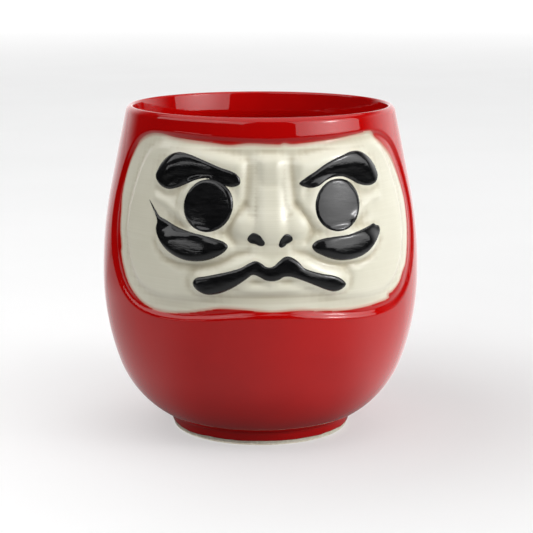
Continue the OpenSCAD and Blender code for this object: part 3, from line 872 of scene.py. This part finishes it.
def build_base():
    r = FOOT_R - FOOT_W - 0.8
    z = HOLLOW
    low = z - GLAZE
    line = chain(
        [(0, low + 0.12), (1.5, low + 0.12), (r * 0.5, low + 0.12), (r - 4, low + 0.12)],
        [(r - 1.5, low + 0.08), (r - 0.5, low + 0.03), (r - 0.12, z - 0.26), (r + 0.02, z - 0.1)],
        [(r, z + 0.05), (r * 0.5, z + 0.05), (1.5, z + 0.05), (0, z + 0.05)],
    )

    def wobble(at, _, a):
        if at < r - 2:
            return np.zeros(len(a))
        wavy = [noise.noise(Vector((3 * math.cos(x), 3 * math.sin(x), 1.0))) for x in a]
        return np.array(wavy) * 0.35 - 0.2

    points, faces = turn(line, 160, wobble)
    make("base_glaze_pool", points, faces, CLEAR, ["base_glaze"])


def build_face():
    loop = smooth_loop(POCKET, 0.6)
    mid = loop.mean(0)
    loop = mid + (loop - mid) * (1 - 0.25 / 50)
    step = 0.62
    pts, tris = fill(loop, step)
    tris = upright(pts, tris)
    h = face_height(pts) + 0.04 * uneven(pts, 5, 1.0)
    around = signed(pts, window_loop)
    height = relief(pts)
    low_pass = np.zeros(len(pts))
    # how deep each point lies below its neighbourhood; the darker tone there is painted shade in the creases
    # and partly the glaze pooling
    cell = {}
    for i, (s, z) in enumerate(pts):
        cell.setdefault((int(s // 2), int(z // 2)), []).append(i)
    mean = {k: height[v].mean() for k, v in cell.items()}
    for i, (s, z) in enumerate(pts):
        a, b = int(s // 2), int(z // 2)
        near = [mean[(a + x, b + y)] for x in (-1, 0, 1) for y in (-1, 0, 1) if (a + x, b + y) in mean]
        low_pass[i] = sum(near) / len(near)
    # painted shade in the creases, partly real glaze pooling
    crease_shade_and_pool = np.clip((low_pass - height) * 1.1, 0, 0.7)
    blush = 0.8 * np.clip(1 - around / 0.7, 0, 1)
    under = np.minimum(h - 0.5, -1.75)
    points, faces = close_slab(on_cup(pts, h), on_cup(pts, under), [tuple(map(int, t)) for t in tris])
    make("face_panel_moulded", points, faces, IVORY, ["face_panel"],
         {"crease_shade_and_pool": np.concatenate([crease_shade_and_pool, crease_shade_and_pool]), "blush": np.concatenate([blush, blush])})


def build_mark(name, outline):
    small = name.startswith("nostril")
    # spacing of the edge and of the inside, the rounded edge's height and its width
    edge_step, step, full, wide = (0.22, 0.24, 0.2, 0.45) if small else (0.36, 0.45, 0.26, 0.6)
    loop = settle(smooth_loop(outline, edge_step))
    pts, tris = fill(loop, step)
    tris = upright(pts, tris)
    inward = distance(pts, loop, True)
    t = 1 - np.clip(inward / wide, 0, 1)
    body = full * np.sqrt(np.clip(1 - t * t, 0, 1))
    body += full * 0.5 * (1 - (1 - inward / inward.max()) ** 2)
    body *= 1 + 0.06 * uneven(pts * (1, 2.2), 5, 4.0 + len(name))
    ground = face_height(pts) + 0.04 * uneven(pts, 5, 1.0)
    points, faces = close_slab(
        on_cup(pts, ground + 0.035 + body), on_cup(pts, ground - 0.25), [tuple(map(int, f)) for f in tris]
    )
    make(name + "_enamel", points, faces, BLACK, [name], sharp=60)


build_outer()
build_inner()
build_clay()
build_base()
build_face()
for mark, outline in MARKS.items():
    build_mark(mark, outline)

# ---------------------------------------------------------------- floor, light, camera


def sheet(name, size, z, material):
    mesh = bpy.data.meshes.new(name)
    mesh.from_pydata([(x * size, y * size, z) for y in (-1, 1) for x in (-1, 1)], [], [(0, 1, 3, 2)])
    mesh.materials.append(material)
    obj = bpy.data.objects.new(name, mesh)
    bpy.context.scene.collection.objects.link(obj)
    return obj


def middle(n):
    """Distance from the cup's axis, and the direction's sideways and backward parts."""
    at = n.add("ShaderNodeTexCoord").outputs["Object"]
    x, y, _ = n.add("ShaderNodeSeparateXYZ", {0: at}).outputs
    r = n.math("SQRT", n.math("ADD", n.math("MULTIPLY", x, x), n.math("MULTIPLY", y, y)))
    return r, n.math("DIVIDE", x, r), n.math("DIVIDE", y, r)


def clear_from_below(n):
    """Lets a view from under the table see the cup's foot."""
    clear = n.add("ShaderNodeBsdfTransparent").outputs[0]
    below = n.add("ShaderNodeNewGeometry").outputs["Backfacing"]
    both = n.add("ShaderNodeMixShader", {0: below, 1: n.shader.outputs[0], 2: clear}).outputs[0]
    n.put(n.tree.nodes["Material Output"].inputs["Surface"], both)


def grey(stops):
    return [(at, (v, v, v)) for at, v in stops]


def floor():
    n = Nodes("floor_paper")
    paper = n.noise((1, 1, 1), 8, 3)
    r, across, _ = middle(n)
    # painted light: the floor glows; the glow dips close round the cup's foot, a painted contact shadow, and
    # rises far off where the lamps' light falls away
    painted_light = n.ramp(n.math("DIVIDE", r, 4.0), grey([(0.012, 0.43), (0.035, 0.55), (0.25, 0.54), (0.75, 0.99)]))
    near = n.ramp(r, grey([(0.02, 0.0), (0.07, 0.11), (0.25, 0.07), (0.6, 0.0)]))
    # painted shade: near the cup the floor's glow is a little darker to the right and lighter to the left
    painted_light = n.mix(1.0, painted_light, n.mix(1.0, near, across, "MULTIPLY"), "SUBTRACT")
    shade = n.ramp(paper, grey([(0.3, 0.39), (0.7, 0.41)]))
    n.set(Base_Color=shade, Roughness=0.9, Emission_Color=painted_light, Emission_Strength=1.0)
    n.shader.inputs["Specular IOR Level"].default_value = 0.1
    clear_from_below(n)
    sheet("floor", 14.0, -0.00003, n.mat)


def table_sheen():
    """Painted light: a glowing card that stands in for the light and reflections the cup receives from the
    table, bright beside and behind it, darker in front, to the left and right under the foot, and nothing
    past the table's front edge. The camera doesn't see it, and from below it is clear."""
    n = Nodes("table_sheen")
    r, across, back = middle(n)
    far = n.ramp(r, grey([(0.02, 0.1), (0.06, 0.8), (0.16, 0.75), (0.27, 0.42), (0.46, 0.0)]))
    turned = n.math("MULTIPLY_ADD", back, 0.5, 0.5)
    front = n.ramp(turned, grey([(0.0, 0.64), (0.08, 0.7), (0.35, 1.2), (1.0, 1.25)]))
    left = n.ramp(n.math("MULTIPLY_ADD", across, 0.5, 0.5), grey([(0.0, 0.65), (0.5, 1.0)]))
    right = n.math("MULTIPLY", across, 0.17)
    away = n.math("ADD", n.math("MULTIPLY_ADD", back, 0.47, 0.5), right)
    behind = n.ramp(away, grey([(0.65, 0.0), (0.9, 1.1)]))
    near = n.mix(1.0, n.mix(1.0, far, front, "MULTIPLY"), left, "MULTIPLY")
    painted_light = n.mix(1.0, near, behind, "LIGHTEN")
    n.set(Base_Color=(0, 0, 0, 1), Roughness=1.0, Emission_Color=painted_light, Emission_Strength=1.0)
    n.shader.inputs["Specular IOR Level"].default_value = 0.0
    n.mat.cycles.emission_sampling = "NONE"
    clear_from_below(n)
    obj = sheet("table_sheen", 14.0, 0.0006, n.mat)
    obj.visible_camera = obj.visible_shadow = obj.visible_transmission = False


def lamp(name, azimuth, elevation, far, size, bright, aim=(0, 0, 0.06), spots=()):
    """Softbox at an azimuth to the right of the face's direction; bright is its radiance.
    Each spot is a brighter place: its middle, its half width and half height, all in shares
    of the softbox, and how many times brighter it is."""
    data = bpy.data.lights.new(name, "AREA")
    data.shape = "RECTANGLE"
    data.size, data.size_y = size
    data.energy = bright * math.pi * size[0] * size[1]
    if spots:
        data.use_nodes = True
        tree = data.node_tree

        def node(kind, links, **props):
            n = tree.nodes.new(kind)
            for k, v in props.items():
                setattr(n, k, v)
            for k, v in links.items():
                if isinstance(v, bpy.types.NodeSocket):
                    tree.links.new(v, n.inputs[k])
                else:
                    n.inputs[k].default_value = v
            return n

        uv = node("ShaderNodeNewGeometry", {}).outputs["Parametric"]
        total = 1.0
        for across, up, wide, high, gain in spots:
            spot = (across, up, 0)
            d = node("ShaderNodeVectorMath", {0: uv, 1: spot}, operation="SUBTRACT").outputs[0]
            share = (1 / wide, 1 / high, 0)
            d = node("ShaderNodeVectorMath", {0: d, 1: share}, operation="MULTIPLY").outputs[0]
            d = node("ShaderNodeVectorMath", {0: d}, operation="LENGTH").outputs["Value"]
            span = {"Value": d, "From Min": 1.0, "From Max": 0.0, "To Max": gain}
            m = node("ShaderNodeMapRange", span, interpolation_type="SMOOTHERSTEP").outputs["Result"]
            total = node("ShaderNodeMath", {0: total, 1: m}, operation="ADD").outputs[0]
        tree.links.new(total, tree.nodes["Emission"].inputs["Strength"])
    obj = bpy.data.objects.new(name, data)
    a, e = math.radians(azimuth), math.radians(elevation)
    way = Vector((math.sin(a) * math.cos(e), -math.cos(a) * math.cos(e), math.sin(e)))
    obj.location = Vector(aim) + way * far
    obj.rotation_euler = way.to_track_quat("Z", "Y").to_euler()
    bpy.context.scene.collection.objects.link(obj)


floor()
table_sheen()
lamp("overhead", 0, 89.9, 4.5, (8.0, 8.0), 1.08)
lamp("softbox_right", 56.25, 22, 0.9, (1.008, 0.72), 1.8,
     spots=[(0.53, 0.48, 0.55, 0.65, 1.3), (0.534, 0.5, 0.18, 0.19, 9)])
lamp("strip_left", -60, 37, 1.3, (2.2, 0.64), 1.75)
lamp("low_left", -60, 2.5, 1.0, (0.6, 0.08), 2.2)


def room():
    """A pale room for the camera. For the light it is dark, but for the backdrop, which is
    behind the cup and a little to the right."""
    world = bpy.data.worlds.new("room")
    world.use_nodes = True
    tree = world.node_tree
    at = tree.nodes.new("ShaderNodeTexCoord").outputs["Generated"]
    swing = tree.nodes.new("ShaderNodeVectorRotate")
    swing.rotation_type = "Z_AXIS"
    swing.inputs["Angle"].default_value = math.radians(18)
    tree.links.new(at, swing.inputs["Vector"])
    split = tree.nodes.new("ShaderNodeSeparateXYZ")
    tree.links.new(swing.outputs[0], split.inputs[0])
    total = None
    for axis, start, end in ((1, 0.3, 0.8), (2, 0.6, 0.3)):
        m = tree.nodes.new("ShaderNodeMapRange")
        m.interpolation_type = "SMOOTHSTEP"
        tree.links.new(split.outputs[axis], m.inputs["Value"])
        m.inputs["From Min"].default_value, m.inputs["From Max"].default_value = start, end
        if total is None:
            total = m.outputs["Result"]
        else:
            mul = tree.nodes.new("ShaderNodeMath")
            mul.operation = "MULTIPLY"
            tree.links.new(total, mul.inputs[0])
            tree.links.new(m.outputs["Result"], mul.inputs[1])
            total = mul.outputs[0]
    seen = tree.nodes.new("ShaderNodeMix")
    seen.data_type = "RGBA"
    seen.inputs[6].default_value = (0.02, 0.02, 0.022, 1)
    seen.inputs[7].default_value = (1.3, 1.3, 1.3, 1)
    tree.links.new(total, seen.inputs[0])
    path = tree.nodes.new("ShaderNodeLightPath")
    mix = tree.nodes.new("ShaderNodeMix")
    mix.data_type = "RGBA"
    tree.links.new(seen.outputs[2], mix.inputs[6])
    mix.inputs[7].default_value = (0.88, 0.88, 0.88, 1)
    tree.links.new(path.outputs["Is Camera Ray"], mix.inputs[0])
    tree.links.new(mix.outputs[2], tree.nodes["Background"].inputs["Color"])
    bpy.context.scene.world = world


room()
bpy.context.scene.view_settings.view_transform = "Standard"

camera = bpy.data.cameras.new("camera")
camera.lens = FOCAL
camera.sensor_width = 36
camera.shift_x = SHIFT
eye = bpy.data.objects.new("camera", camera)
eye.location = (FRONT * MM).tolist()
eye.rotation_euler = (math.pi / 2 - CAMERA_DOWN, 0, -TURNED)
bpy.context.scene.collection.objects.link(eye)
bpy.context.scene.camera = eye

bpy.context.view_layer.update()
